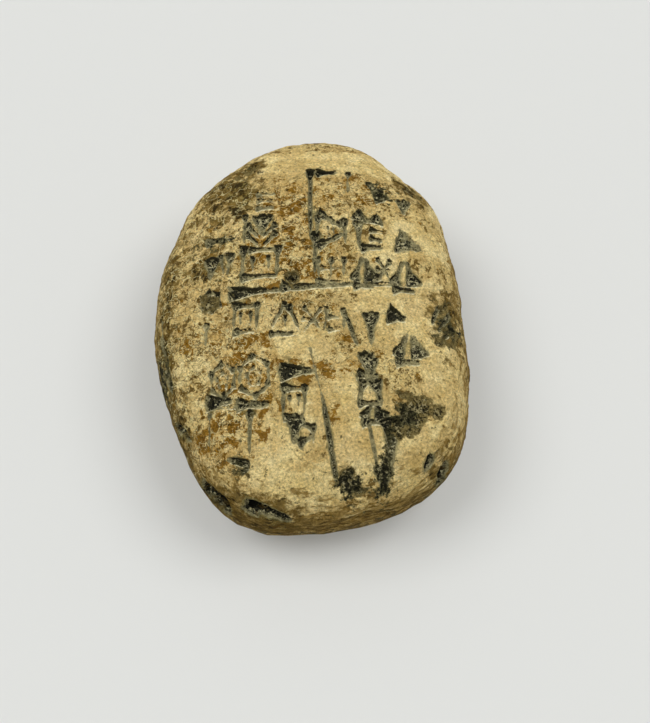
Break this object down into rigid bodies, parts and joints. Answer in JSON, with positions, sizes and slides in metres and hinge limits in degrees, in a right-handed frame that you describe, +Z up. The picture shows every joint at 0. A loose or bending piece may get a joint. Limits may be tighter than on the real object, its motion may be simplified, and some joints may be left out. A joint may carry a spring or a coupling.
{
  "type": "cuneiform tablet",
  "caption": "Hand-sized pillow-shaped clay tablet lying on its back, its worn face pressed with rows of wedge strokes between ruled lines, with a chipped and grimy edge.",
  "frame": {"origin": "under the middle of the tablet, on the surface it lies on", "axes": "+X to the right across the written face, +Y along the tablet towards its top edge, +Z up out of the written face"},
  "size_m": [0.042, 0.0576, 0.02],
  "materials": {
    "clay": "matte dried clay, buff with ochre mottling, grey-green dirt in the strokes and brown grime on the edge"
  },
  "bodies": {
    "root": {"tablet": "clay"}
  },
  "joints": []
}
